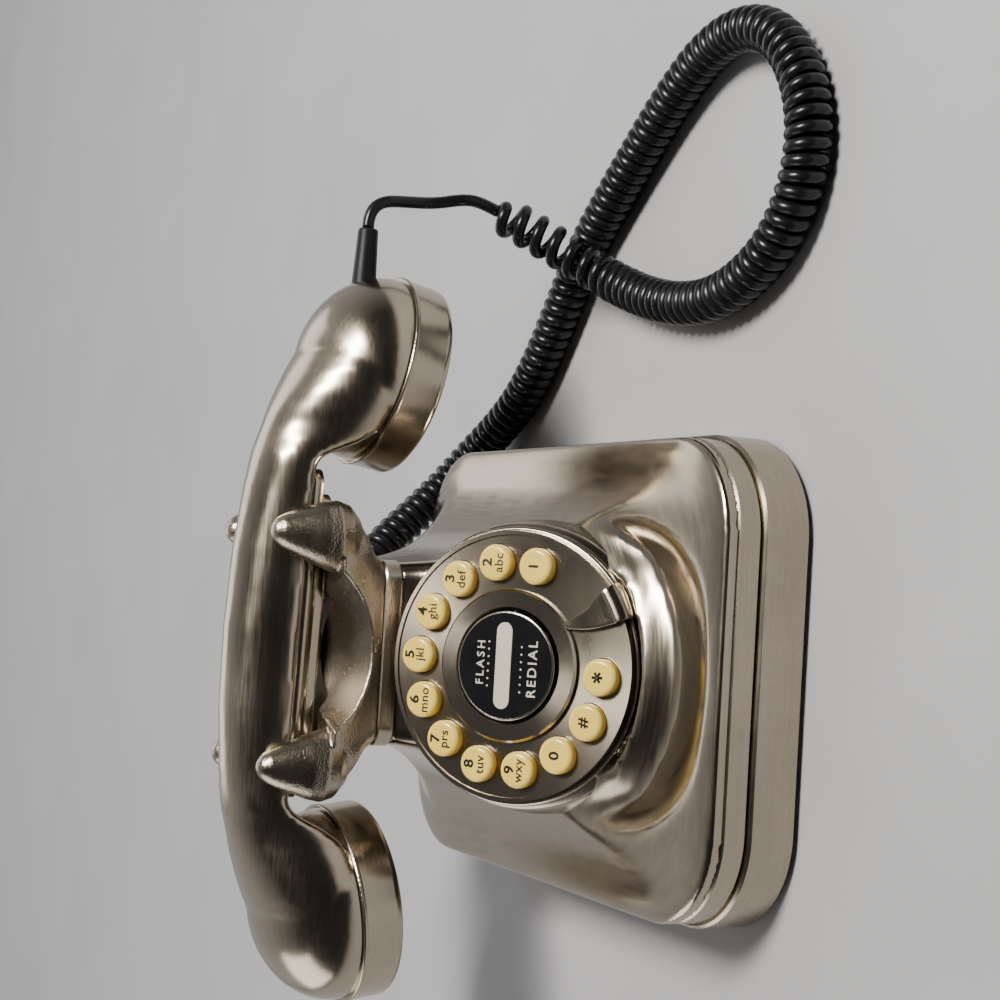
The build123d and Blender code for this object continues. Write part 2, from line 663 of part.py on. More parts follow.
def cord_solid(name, route, diameter):
    """Round tube along straight runs joined by arcs as large as the runs allow."""
    runs = [b - a for a, b in zip(route, route[1:])]
    radii = []
    for before, after in zip(runs, runs[1:]):
        half_turn = radians(before.get_angle(after)) / 2
        radii.append(0.45 * min(before.length, after.length) / tan(half_turn))
    path = FilletPolyline(*route, radius=radii)
    start = Plane(origin=route[0], z_dir=runs[0])
    solid = sweep(start * Circle(diameter / 2), path=path, transition=Transition.ROUND)
    ideal = pi * diameter**2 / 4 * path.length
    print(name, "length", round(path.length, 1), "radii", [round(r, 1) for r in radii])
    print(name, "volume over section times length", round(solid.volume / ideal, 4))
    return solid


def cord_plug():
    """Modular plug in the jack, with a short collar for the cord."""
    plug = block(-3.9, 3.9, NECK_Y + 22, PLUG_END_Y - 2, JACK_Z - 3.4, JACK_Z + 3.4)
    collar = Pos(0, PLUG_END_Y - 1, JACK_Z) * Rot(90, 0, 0) * Cylinder(2.8, 2)
    return plug + collar


# ---------------------------------------------------------------- write every node
KEY_NAMES = ["1", "2", "3", "4", "5", "6", "7", "8", "9", "0", "hash", "star"]

save("base_band", base_band())
save("middle_band", middle_band())
save("bottom_plate", bottom_plate())
save("bottom_screws", bottom_screws())
save("rubber_feet", rubber_feet())
save("base_weight", base_weight())
save("ringer", ringer())
save("main_board", main_board())
save("board_screws", board_screws())
save("line_jack", line_jack())
save("switch_housing", switch_housing())
for switch_name, switch_x in SWITCH_XS.items():
    save(switch_name, switch_knob(switch_x))
save("body_shell", body_shell())
save("neck_collar", neck_collar())
save("handset_jack", handset_jack())
save("cradle", cradle())
save("hook_plunger", hook_plunger())
save("hook_bracket", hook_bracket())
save("hook_screws", hook_screws())
save("hook_spring", hook_spring())
save("hook_switch", hook_switch())
save("dial_plate", dial_plate())
save("dial_bezel_ring", dial_bezel_ring())
save("dial_inner_ring", dial_inner_ring())
for key_index, key_name in enumerate(KEY_NAMES):
    save(f"key_{key_name}", key(key_index))
save("keypad_membrane", keypad_membrane())
save("keypad_board", keypad_board())
save("keypad_retainer", keypad_retainer())
save("center_button", center_button())
save("button_light_bar", button_light_bar())
save("button_pin", button_pin())
save("finger_stop", finger_stop())
save("handset_shell", handset_shell())
save("handset_cover", handset_cover())
save("handset_screws", handset_screws())
save("handset_weight", handset_weight())
save("ear_cap", ear_cap())
save("mouth_cap", mouth_cap())
save("receiver", receiver())
save("receiver_ring", receiver_ring())
save("microphone", microphone())
save("microphone_ring", microphone_ring())
save("cord_boot", cord_boot())
save("cord_lead", cord_solid("cord_lead", LEAD_ROUTE, WIRE_D))
save("cord_coil", cord_solid("cord_coil", COIL_ROUTE, COIL_D))
save("cord_tail", cord_solid("cord_tail", TAIL_ROUTE, WIRE_D))
save("cord_plug", cord_plug())
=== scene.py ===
"""Looks of the desk telephone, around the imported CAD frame.

Metres. Origin: centre of the base on the desk. +X is the caller's right, -Y the front, +Z up.
"""

import json
from math import cos, pi, radians, sin, tau

import bmesh
import bpy
import numpy as np
from mathutils import Matrix, Vector


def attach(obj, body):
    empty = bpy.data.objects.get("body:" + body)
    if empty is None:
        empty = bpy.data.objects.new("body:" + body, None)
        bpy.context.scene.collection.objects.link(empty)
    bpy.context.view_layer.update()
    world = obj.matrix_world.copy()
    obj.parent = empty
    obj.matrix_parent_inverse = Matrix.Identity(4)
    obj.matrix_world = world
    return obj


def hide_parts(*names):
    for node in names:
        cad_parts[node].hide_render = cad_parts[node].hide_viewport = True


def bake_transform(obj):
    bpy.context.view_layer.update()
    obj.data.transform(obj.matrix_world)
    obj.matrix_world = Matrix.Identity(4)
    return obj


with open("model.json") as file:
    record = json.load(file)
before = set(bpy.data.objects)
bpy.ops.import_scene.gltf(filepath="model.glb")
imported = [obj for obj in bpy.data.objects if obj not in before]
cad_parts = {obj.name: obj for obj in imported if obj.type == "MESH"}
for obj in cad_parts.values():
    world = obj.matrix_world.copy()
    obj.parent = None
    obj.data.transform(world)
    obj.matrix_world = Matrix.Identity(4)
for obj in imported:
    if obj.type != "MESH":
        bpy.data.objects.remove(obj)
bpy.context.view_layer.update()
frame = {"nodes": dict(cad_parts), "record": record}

MM = 0.001
NECK_Y = 47.0
DIAL_CENTRE = Vector((0.0, -30.4, 59.2))
DIAL_TILT = radians(34.4)
KEY_CIRCLE_R, KEY_START, KEY_STEP, KEY_TOP = 31.8, -15.0, 25.7, 3.4
HANDSET_X, HANDSET_TILT, HANDLE_BOTTOM = 5.0, radians(1.4), 100.0
EAR_X, EAR_Z, EAR_TILT, DOME_R, DOME_SKIRT = 90.0, 81.4, radians(9.7), 31.6, 2.2
WIRE_D, HELIX_R = 4.2, 5.2
RELAX_IN, RELAX_OUT = 0.50, -0.52


# ---------------------------------------------------------------- frames
def dial_matrix():
    """Millimetres on the dial (right, up the dial, out of it) to metres in the row frame."""
    place = Matrix.Translation(DIAL_CENTRE * MM) @ Matrix.Rotation(DIAL_TILT, 4, "X")
    return place @ Matrix.Scale(MM, 4)


def handset_matrix():
    """Millimetres in the handset's own frame to metres in the row frame."""
    pivot = Matrix.Translation((0, 0, HANDLE_BOTTOM))
    back = Matrix.Translation((0, 0, -HANDLE_BOTTOM))
    shift = Matrix.Translation((HANDSET_X, 0, 0))
    return Matrix.Scale(MM, 4) @ shift @ pivot @ Matrix.Rotation(HANDSET_TILT, 4, "Y") @ back


def cap_matrix(side):
    """Millimetres at the rim of one end of the handset, Z out of the top of its dome."""
    place = Matrix.Translation((side * EAR_X, NECK_Y, EAR_Z))
    return handset_matrix() @ place @ Matrix.Rotation(side * EAR_TILT, 4, "Y")


# ---------------------------------------------------------------- mesh helpers
def add_piece(name, mesh, body, material):
    """New object that rides on a body and carries one material."""
    piece = bpy.data.objects.new(name, mesh)
    bpy.context.scene.collection.objects.link(piece)
    return finish_piece(piece, body, material)


def mesh_from(name, points, faces, matrix=None):
    mesh = bpy.data.meshes.new(name)
    mesh.from_pydata([tuple(p) for p in points], [], faces)
    if matrix:
        mesh.transform(matrix)
    mesh.update()
    return mesh


def applied(piece):
    """Swap a piece's mesh for the one its modifiers make."""
    graph = bpy.context.evaluated_depsgraph_get()
    mesh = bpy.data.meshes.new_from_object(piece.evaluated_get(graph))
    piece.modifiers.clear()
    piece.data = mesh
    return piece


def read_points(mesh):
    points = np.empty(len(mesh.vertices) * 3)
    mesh.vertices.foreach_get("co", points)
    return points.reshape(-1, 3)


def write_points(mesh, points):
    mesh.vertices.foreach_set("co", points.ravel())
    mesh.update()


def relax(mesh, passes, weight=None):
    """Average each vertex with its neighbours, alternately in and out so the form keeps its size."""
    points = read_points(mesh)
    count = len(points)
    edges = np.empty(len(mesh.edges) * 2, dtype=np.int64)
    mesh.edges.foreach_get("vertices", edges)
    edges = edges.reshape(-1, 2)
    share = np.bincount(edges.ravel(), minlength=count).astype(float)
    share[share == 0] = 1
    for step in range(passes * 2):
        total = np.zeros_like(points)
        for axis in range(3):
            total[:, axis] += np.bincount(edges[:, 0], points[edges[:, 1], axis], count)
            total[:, axis] += np.bincount(edges[:, 1], points[edges[:, 0], axis], count)
        amount = RELAX_IN if step % 2 == 0 else RELAX_OUT
        move = total / share[:, None] - points
        amount = amount if weight is None else amount * weight(points * 1000)[:, None]
        points = points + amount * move
    write_points(mesh, points)


def finish_piece(piece, body, material):
    """Smooth shading, one material and the body it rides on."""
    piece.data.materials.clear()
    piece.data.materials.append(material)
    for face in piece.data.polygons:
        face.use_smooth = True
    if body:
        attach(piece, body)
    return piece


def remeshed(name, made, voxel, passes, weight=None):
    """One even skin round overlapping closed forms, relaxed so that they flow together."""
    mesh = bpy.data.meshes.new(name)
    made.to_mesh(mesh)
    made.free()
    piece = bpy.data.objects.new(name, mesh)
    bpy.context.scene.collection.objects.link(piece)
    remesh = piece.modifiers.new("remesh", "REMESH")
    remesh.mode = "VOXEL"
    remesh.voxel_size = voxel * MM
    remesh.use_smooth_shade = True
    applied(piece)
    relax(piece.data, passes, weight)
    return piece


def revolved(name, profile, steps, matrix, closed=True):
    """Turn a profile of (radius, height) points in mm about the local Z axis."""
    points = []
    for step in range(steps):
        angle = tau * step / steps
        points += [(r * cos(angle), r * sin(angle), z) for r, z in profile]
    size = len(profile)
    faces = []
    for step in range(steps):
        near, far = step * size, (step + 1) % steps * size
        for k in range(size if closed else size - 1):
            after = (k + 1) % size
            faces.append((near + k, far + k, far + after, near + after))
    return mesh_from(name, points, faces, matrix)


def smooth_profile(corners, rounds, steps=5):
    """Close a profile of corner points with a small arc-like cut at each corner."""
    out = []
    count = len(corners)
    for i, (corner, size) in enumerate(zip(corners, rounds)):
        here = Vector(corner)
        before = Vector(corners[i - 1]) - here
        after = Vector(corners[(i + 1) % count]) - here
        if size <= 0:
            out.append(tuple(here))
            continue
        a = here + before.normalized() * min(size, before.length * 0.45)
        b = here + after.normalized() * min(size, after.length * 0.45)
        for k in range(steps + 1):
            t = k / steps
            point = a * (1 - t) ** 2 + here * 2 * t * (1 - t) + b * t**2
            out.append(tuple(point))
    return out


# ---------------------------------------------------------------- cord line
BOOT_END = (142.6, 47.0, 83.7)
LEAD_ROUTE = [
    BOOT_END,
    (146.9, 47.0, 83.6),
    (150.9, 46.9, 81.0),
    (152.7, 46.4, 77.0),
    (153.1, 45.6, 70.5),
    (153.7, 43.8, 60.5),
    (156.0, 40.8, 51.5),
    (155.2, 37.5, 46.2),
    (152.4, 34.7, 41.5),
]
COIL_ROUTE = [
    (152.4, 34.7, 41.5),
    (147.5, 29.8, 33.3),
    (141.0, 23.0, 24.0),
    (133.5, 14.5, 14.5),
    (127.0, 3.0, 9.0),
    (121.0, -14.0, 7.4),
    (117.0, -34.0, 7.4),
    (116.5, -53.0, 7.4),
    (121.0, -71.0, 7.4),
    (130.5, -87.0, 7.4),
    (145.5, -97.5, 7.4),
    (163.5, -100.0, 7.4),
    (181.0, -93.5, 7.4),
    (194.5, -80.5, 7.4),
    (200.5, -62.5, 7.4),
    (197.5, -42.5, 7.4),
    (187.0, -23.5, 7.4),
    (172.5, -4.0, 7.4),
    (157.0, 15.5, 7.4),
    (141.5, 33.0, 7.4),
    (124.0, 46.0, 7.4),
    (107.0, 59.5, 7.4),
    (92.5, 75.0, 7.4),
    (82.5, 91.0, 8.0),
    (73.0, 104.0, 11.5),
    (62.0, 111.5, 18.0),
    (51.0, 114.5, 27.5),
    (40.5, 115.0, 38.5),
    (30.0, 113.5, 48.5),
    (19.0, 109.5, 56.0),
]
TAIL_ROUTE = [
    (19.0, 109.5, 56.0),
    (12.4, 107.1, 60.5),
    (5.5, 103.0, 62.8),
    (1.2, 97.0, 61.6),
    (0.0, 90.5, 60.0),
    (0.0, 84.5, 60.0),
]


def spline_points(route, resolution):
    """Points, in mm, along the smooth NURBS line of a route."""
    curve = bpy.data.curves.new("route", "CURVE")
    curve.dimensions = "3D"
    curve.resolution_u = resolution
    spline = curve.splines.new("NURBS")
    spline.points.add(len(route) - 1)
    for point, place in zip(spline.points, route):
        point.co = (*place, 1.0)
    spline.order_u = 3
    spline.use_endpoint_u = True
    holder = bpy.data.objects.new("route", curve)
    bpy.context.scene.collection.objects.link(holder)
    mesh = bpy.data.meshes.new_from_object(holder)
    points = [v.co.copy() for v in mesh.vertices]
    bpy.data.objects.remove(holder)
    bpy.data.curves.remove(curve)
    bpy.data.meshes.remove(mesh)
    return points


def along(points, step):
    """The same line read at even steps."""
    out = [points[0].copy()]
    need = step
    for a, b in zip(points, points[1:]):
        length = (b - a).length
        done = 0.0
        while length - done >= need:
            done += need
            out.append(a.lerp(b, done / length))
            need = step
        need -= length - done
    return out


def frames_along(points):
    """Tangent and a side direction that doesn't spin, at each point."""
    tangents = []
    for i in range(len(points)):
        tangents.append((points[min(i + 1, len(points) - 1)] - points[max(i - 1, 0)]).normalized())
    side = tangents[0].orthogonal().normalized()
    sides = []
    for tangent in tangents:
        side = (side - tangent * side.dot(tangent)).normalized()
        sides.append(side.copy())
    return tangents, sides


def smooth_step(value):
    """Turn an even 0..1 rise into one that starts and ends gently; a number or an array."""
    return value**2 * (3 - 2 * value)


def ease(value):
    return smooth_step(min(max(value, 0.0), 1.0))


OPEN_PITCH, CLOSE_PITCH, OPEN_LENGTH, CLOSING_LENGTH = 7.0, 4.32, 34.0, 20.0
START_TURN, OPENING, TAPER = 2.3, 5.0, 7.0
AXIS_STEP, PLAIN_STEP, LINE_STEP = 0.2, 0.5, 0.75


def helix_line(points):
    """Curly part of the cord: a few stretched turns at the handset end, then close-wound."""
    axis = along(points, AXIS_STEP)
    tangents, sides = frames_along(axis)
    total = AXIS_STEP * (len(axis) - 1)
    turn = START_TURN
    out = []
    for i, (place, tangent, side) in enumerate(zip(axis, tangents, sides)):
        done = i * AXIS_STEP
        stretched = ease((OPEN_LENGTH + CLOSING_LENGTH - done) / CLOSING_LENGTH)
        pitch = CLOSE_PITCH + (OPEN_PITCH - CLOSE_PITCH) * stretched
        turn += tau * AXIS_STEP / pitch
        across = tangent.cross(side)
        radius = HELIX_R * min(ease(done / OPENING + 0.1), ease((total - done) / TAPER))
        out.append(place + radius * (side * cos(turn) + across * sin(turn)))
    return out


def cord_line():
    """Centre line of the wire from the boot on the handset to the plug in the base, in mm."""
    lead = along(spline_points(LEAD_ROUTE, 24), PLAIN_STEP)
    curl = helix_line(spline_points(COIL_ROUTE, 48))
    tail = along(spline_points(TAIL_ROUTE, 24), PLAIN_STEP)
    line = lead[:-2] + curl + tail[2:]
    for _ in range(3):
        for ends in (len(lead), len(lead) + len(curl)):
            for i in range(ends - 16, ends + 12):
                line[i] = (line[i - 1] + line[i] * 2 + line[i + 1]) / 4
    return along(line, LINE_STEP)


def tube_mesh(name, line, radius, sides=12):
    tangents, normals = frames_along(line)
    points = []
    for place, tangent, normal in zip(line, tangents, normals):
        across = tangent.cross(normal)
        for k in range(sides):
            angle = tau * k / sides
            points.append(place + radius * (normal * cos(angle) + across * sin(angle)))
    faces = []
    for ring in range(len(line) - 1):
        near, far = ring * sides, (ring + 1) * sides
        for k in range(sides):
            after = (k + 1) % sides
            faces.append((near + k, near + after, far + after, far + k))
    last = (len(line) - 1) * sides
    faces.append(tuple(reversed(range(sides))))
    faces.append(tuple(range(last, last + sides)))
    return mesh_from(name, points, faces, Matrix.Scale(MM, 4))


# ---------------------------------------------------------------- material helpers
def new_material(name):
    material = bpy.data.materials.new(name)
    material.use_nodes = True
    tree = material.node_tree
    return material, tree, tree.nodes["Principled BSDF"]


def coordinates(tree, scale=(1, 1, 1)):
    """Object coordinates stretched by a scale, for brush lines and grain."""
    source = tree.nodes.new("ShaderNodeTexCoord")
    mapping = tree.nodes.new("ShaderNodeMapping")
    mapping.inputs["Scale"].default_value = scale
    tree.links.new(source.outputs["Object"], mapping.inputs["Vector"])
    return mapping.outputs["Vector"]


def noise(tree, vector, scale, detail=4.0, rough=0.55):
    node = tree.nodes.new("ShaderNodeTexNoise")
    node.inputs["Scale"].default_value = scale
    node.inputs["Detail"].default_value = detail
    node.inputs["Roughness"].default_value = rough
    tree.links.new(vector, node.inputs["Vector"])
    return node.outputs["Fac"]


def ramp(tree, value, low, high, start=0.3, end=0.7):
    """Spread a 0..1 value between two numbers."""
    node = tree.nodes.new("ShaderNodeMapRange")
    node.inputs["From Min"].default_value = start
    node.inputs["From Max"].default_value = end
    node.inputs["To Min"].default_value = low
    node.inputs["To Max"].default_value = high
    tree.links.new(value, node.inputs["Value"])
    return node.outputs["Result"]


def blend_colour(tree, value, first, second, start=0.3, end=0.7):
    node = tree.nodes.new("ShaderNodeMix")
    node.data_type = "RGBA"
    node.inputs[6].default_value = (*first, 1)
    node.inputs[7].default_value = (*second, 1)
    tree.links.new(ramp(tree, value, 0, 1, start, end), node.inputs[0])
    return node.outputs[2]


def add_bump(tree, shader, height, strength, distance, before=None):
    node = tree.nodes.new("ShaderNodeBump")
    node.inputs["Strength"].default_value = strength
    node.inputs["Distance"].default_value = distance
    tree.links.new(height, node.inputs["Height"])
    if before is not None:
        tree.links.new(before, node.inputs["Normal"])
    tree.links.new(node.outputs["Normal"], shader.inputs["Normal"])
    return node.outputs["Normal"]


def maths(tree, operation, first, second):
    node = tree.nodes.new("ShaderNodeMath")
    node.operation = operation
    for socket, value in zip(node.inputs, (first, second)):
        if isinstance(value, (int, float)):
            socket.default_value = value
        else:
            tree.links.new(value, socket)
    return node.outputs[0]


# ---------------------------------------------------------------- materials
def brushed_nickel(name, brush, tint=(0.45, 0.39, 0.305), low=0.13, high=0.26):
    """Satin nickel plate: fine brush lines, cloudy handling marks and a little tarnish."""
    material, tree, shader = new_material(name)
    lines = noise(tree, coordinates(tree, brush), 1.0, 3.0, 0.6)
    fine = noise(tree, coordinates(tree, tuple(2.7 * k for k in brush)), 1.0, 2.0, 0.5)
    clouds = noise(tree, coordinates(tree), 34.0, 5.0, 0.6)
    stain = noise(tree, coordinates(tree), 110.0, 6.0, 0.7)
    halves = [maths(tree, "MULTIPLY", value, 0.5) for value in (lines, clouds)]
    mixed = maths(tree, "ADD", *halves)
    dark = tuple(0.78 * k for k in tint)
    worn = tuple(0.6 * k for k in tint)
    base = blend_colour(tree, mixed, dark, tint, 0.3, 0.6)
    spots = tree.nodes.new("ShaderNodeMix")
    spots.data_type = "RGBA"
    spots.inputs[7].default_value = (*worn, 1)
    tree.links.new(base, spots.inputs[6])
    tree.links.new(ramp(tree, stain, 0.0, 0.5, 0.6, 0.8), spots.inputs[0])
    tree.links.new(spots.outputs[2], shader.inputs["Base Color"])
    shader.inputs["Metallic"].default_value = 1.0
    shader.inputs["Anisotropic"].default_value = 0.45
    tree.links.new(ramp(tree, mixed, low, high), shader.inputs["Roughness"])
    bumped = add_bump(tree, shader, lines, 0.07, 0.00004)
    add_bump(tree, shader, fine, 0.06, 0.00003, bumped)
    return material


def pearl_nickel():
    """Bead-blasted nickel: an even fine sparkle grain with smoother worn patches."""
    material, tree, shader = new_material("pearl_nickel")
    grain = noise(tree, coordinates(tree), 1500.0, 2.0, 0.5)
    clouds = noise(tree, coordinates(tree), 45.0, 4.0, 0.6)
    colour = blend_colour(tree, clouds, (0.36, 0.31, 0.24), (0.47, 0.41, 0.325), 0.35, 0.65)
    tree.links.new(colour, shader.inputs["Base Color"])
    shader.inputs["Metallic"].default_value = 1.0
    tree.links.new(ramp(tree, clouds, 0.22, 0.32), shader.inputs["Roughness"])
    add_bump(tree, shader, grain, 0.75, 0.0002)
    return material


def dial_metal(name="dial_metal", low=0.24, high=0.38, tint=(0.36, 0.31, 0.245)):
    """Dull turned nickel: rings of fine tool marks round the dial's axis, with brown tarnish."""
    material, tree, shader = new_material(name)
    source = tree.nodes.new("ShaderNodeTexCoord")
    move = tree.nodes.new("ShaderNodeVectorMath")
    move.operation = "SUBTRACT"
    move.inputs[1].default_value = DIAL_CENTRE * MM
    turn = tree.nodes.new("ShaderNodeVectorRotate")
    turn.rotation_type = "X_AXIS"
    turn.inputs["Angle"].default_value = -DIAL_TILT
    flat = tree.nodes.new("ShaderNodeVectorMath")
    flat.operation = "MULTIPLY"
    flat.inputs[1].default_value = (1, 1, 0)
    length = tree.nodes.new("ShaderNodeVectorMath")
    length.operation = "LENGTH"
    tree.links.new(source.outputs["Object"], move.inputs[0])
    tree.links.new(move.outputs[0], turn.inputs["Vector"])
    tree.links.new(turn.outputs[0], flat.inputs[0])
    tree.links.new(flat.outputs[0], length.inputs[0])
    rings = tree.nodes.new("ShaderNodeTexNoise")
    rings.noise_dimensions = "1D"
    rings.inputs["Scale"].default_value = 2600.0
    rings.inputs["Detail"].default_value = 3.0
    tree.links.new(length.outputs["Value"], rings.inputs["W"])
    clouds = noise(tree, coordinates(tree), 60.0, 6.0, 0.65)
    worn = tuple(0.62 * k for k in tint)
    colour = blend_colour(tree, clouds, worn, tint, 0.3, 0.62)
    tree.links.new(colour, shader.inputs["Base Color"])
    shader.inputs["Metallic"].default_value = 1.0
    shader.inputs["Anisotropic"].default_value = 0.75
    around = tree.nodes.new("ShaderNodeVectorMath")
    around.operation = "CROSS_PRODUCT"
    around.inputs[0].default_value = (0, -sin(DIAL_TILT), cos(DIAL_TILT))
    tree.links.new(move.outputs[0], around.inputs[1])
    unit = tree.nodes.new("ShaderNodeVectorMath")
    unit.operation = "NORMALIZE"
    tree.links.new(around.outputs[0], unit.inputs[0])
    tree.links.new(unit.outputs[0], shader.inputs["Tangent"])
    tree.links.new(ramp(tree, clouds, high, low), shader.inputs["Roughness"])
    add_bump(tree, shader, rings.outputs["Fac"], 0.2, 0.00006)
    return material


def steel():
    """Zinc-plated steel with a mottled surface."""
    material, tree, shader = new_material("steel")
    clouds = noise(tree, coordinates(tree), 300.0, 4.0, 0.6)
    colour = blend_colour(tree, clouds, (0.38, 0.38, 0.37), (0.55, 0.54, 0.52))
    tree.links.new(colour, shader.inputs["Base Color"])
    shader.inputs["Metallic"].default_value = 1.0
    tree.links.new(ramp(tree, clouds, 0.3, 0.45), shader.inputs["Roughness"])
    add_bump(tree, shader, clouds, 0.15, 0.0001)
    return material


def moulded(name, colour, low, high, grain, strength, coat=0.0, shine=0.5):
    """Moulded plastic or rubber: slight mottle, fine skin and a gloss between two roughnesses."""
    material, tree, shader = new_material(name)
    clouds = noise(tree, coordinates(tree), 90.0, 4.0, 0.6)
    skin = noise(tree, coordinates(tree), grain, 2.0, 0.5)
    tone = blend_colour(tree, clouds, tuple(0.86 * k for k in colour), colour)
    tree.links.new(tone, shader.inputs["Base Color"])
    tree.links.new(ramp(tree, clouds, low, high), shader.inputs["Roughness"])
    shader.inputs["Specular IOR Level"].default_value = shine
    shader.inputs["Coat Weight"].default_value = coat
    shader.inputs["Coat Roughness"].default_value = 0.08
    add_bump(tree, shader, skin, strength, 0.0001)
    return material


NICKEL = brushed_nickel("nickel_body", (60, 60, 1900))
NICKEL_ALONG = brushed_nickel("nickel_handset", (60, 1500, 1500), low=0.14, high=0.26)
NICKEL_BAND = brushed_nickel("nickel_band", (26, 26, 2400), low=0.18, high=0.32)
NICKEL_CAP = brushed_nickel("nickel_cap", (200, 200, 2400), low=0.15, high=0.26)
PEARL = pearl_nickel()
DIAL_METAL = dial_metal()
DIAL_RING = dial_metal("dial_ring", 0.16, 0.28, (0.46, 0.40, 0.32))
STOP_METAL = dial_metal("stop_metal", 0.16, 0.28, (0.46, 0.40, 0.31))
EDGE_METAL = dial_metal("button_edge", 0.14, 0.26, (0.50, 0.46, 0.38))
STEEL = steel()
CORD_BLACK = moulded("cord_black", (0.007, 0.007, 0.008), 0.24, 0.36, 900.0, 0.06, 0.12, 0.3)
RUBBER_BLACK = moulded("rubber_black", (0.008, 0.008, 0.009), 0.38, 0.5, 1600.0, 0.12, 0.0, 0.22)
BUTTON_BLACK = moulded("button_black", (0.006, 0.006, 0.007), 0.12, 0.2, 500.0, 0.03, 0.5)
INK = moulded("ink_black", (0.01, 0.009, 0.008), 0.3, 0.4, 900.0, 0.03)
PRINT = moulded("print_warm_white", (0.60, 0.56, 0.48), 0.3, 0.42, 900.0, 0.03)
BAR_WHITE = moulded("bar_white", (0.62, 0.57, 0.46), 0.28, 0.4, 700.0, 0.05, 0.2)
KEY_CREAM = moulded("key_cream", (0.95, 0.68, 0.13), 0.16, 0.28, 400.0, 0.04, 0.4)
PLASTIC_BLACK = moulded("plastic_black", (0.02, 0.02, 0.02), 0.4, 0.55, 1200.0, 0.15)
PLASTIC_GREY = moulded("plastic_grey", (0.33, 0.33, 0.32), 0.4, 0.55, 1200.0, 0.15)
BOARD_GREEN = moulded("board_green", (0.03, 0.16, 0.07), 0.3, 0.45, 700.0, 0.1)
FOAM = moulded("foam_grey", (0.11, 0.11, 0.11), 0.8, 0.95, 500.0, 0.8)

SLOT_MATERIALS = {
    "nickel": NICKEL,
    "nickel_pearl": PEARL,
    "dial_metal": DIAL_METAL,
    "steel": STEEL,
    "rubber_black": RUBBER_BLACK,
    "cord_black": CORD_BLACK,
    "button_black": BUTTON_BLACK,
    "bar_white": BAR_WHITE,
    "key_cream": KEY_CREAM,
    "plastic_black": PLASTIC_BLACK,
    "plastic_grey": PLASTIC_GREY,
    "board_green": BOARD_GREEN,
    "foam_grey": FOAM,
}
NODE_MATERIALS = {
    "base_band": NICKEL_BAND,
    "middle_band": NICKEL_BAND,
    "neck_collar": NICKEL_BAND,
    "ear_cap": NICKEL_CAP,
    "mouth_cap": NICKEL_CAP,
    "handset_cover": NICKEL_ALONG,
    "dial_inner_ring": DIAL_RING,
}


def dress_cad_nodes():
    """Give every CAD node that still shows its finish."""
    for part in frame["record"]["subparts"]:
        node = frame["nodes"][part["node"]]
        finish = NODE_MATERIALS.get(part["node"], SLOT_MATERIALS[part["material_slot"]])
        if not node.material_slots:
            node.data.materials.append(finish)
        for slot in node.material_slots:
            slot.material = finish


# ---------------------------------------------------------------- metal skins
def dial_distance(points):
    """Distance from the dial's axis and height above its face, in mm, for an array of points."""
    local = points - np.array(DIAL_CENTRE)
    normal = np.array((0, -sin(DIAL_TILT), cos(DIAL_TILT)))
    height = local @ normal
    away = np.linalg.norm(local - height[:, None] * normal, axis=1)
    return away, height


def fade(values, low, high):
    """Even rise of an array from 0 at one value to 1 at another."""
    return np.clip((values - low) / (high - low), 0, 1)


def body_weight(points):
    """Free in the sweep, held at the rim, the neck's top and the drum's lip."""
    hold = fade(points[:, 2], 25.6, 27.0) * fade(-points[:, 2], -75.5, -73.0)
    away, height = dial_distance(points)
    lip = np.maximum(fade(away, 43.0, 45.0), fade(-height, 4.4, 6.5))
    return hold * lip


# the hollow in front of the dial: how deep, where it starts, is deepest and ends from the dial's axis
COVE_DEPTH, COVE_START, COVE_FULL, COVE_INNER, COVE_OUTER = 7.6, 43.0, 54.0, 46.0, 76.0
# its edges, in degrees from straight down the dial: at its start, the turn outwards, and their softness
RIDGE_START, RIDGE_TURN, RIDGE_SOFT = 74.0, 32.0, 26.0
FLOOR_LOW, FLOOR_HIGH = 26.0, 30.0


def sink_cove(mesh):
    """Hollow the sweep round the dial's lower half, out to the ridges that run to the front corners."""
    points = read_points(mesh) * 1000
    local = points - np.array(DIAL_CENTRE)
    up = local @ np.array((0, cos(DIAL_TILT), sin(DIAL_TILT)))
    away = np.hypot(local[:, 0], up)
    from_down = np.degrees(np.arctan2(np.abs(local[:, 0]), -up))
    outwards = fade(away, COVE_INNER, COVE_OUTER)
    ridge = RIDGE_START - RIDGE_TURN * outwards
    across = smooth_step(fade(ridge - from_down, 0.0, RIDGE_SOFT))
    near = smooth_step(fade(away, COVE_START, COVE_FULL))
    far = smooth_step(1 - outwards)
    floor_hold = fade(points[:, 2], FLOOR_LOW, FLOOR_HIGH)
    points[:, 2] -= COVE_DEPTH * near * across * far * floor_hold
    write_points(mesh, points / 1000)


def body_skin(voxel):
    """The pressed body: bell, dial drum and the cove between them, flowing into each other."""
    made = bmesh.new()
    made.from_mesh(frame["nodes"]["body_shell"].data)
    piece = remeshed("body_skin", made, voxel, 4, body_weight)
    sink_cove(piece.data)
    relax(piece.data, 45, body_weight)
    finish_piece(piece, "base", NICKEL)
    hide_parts("body_shell")


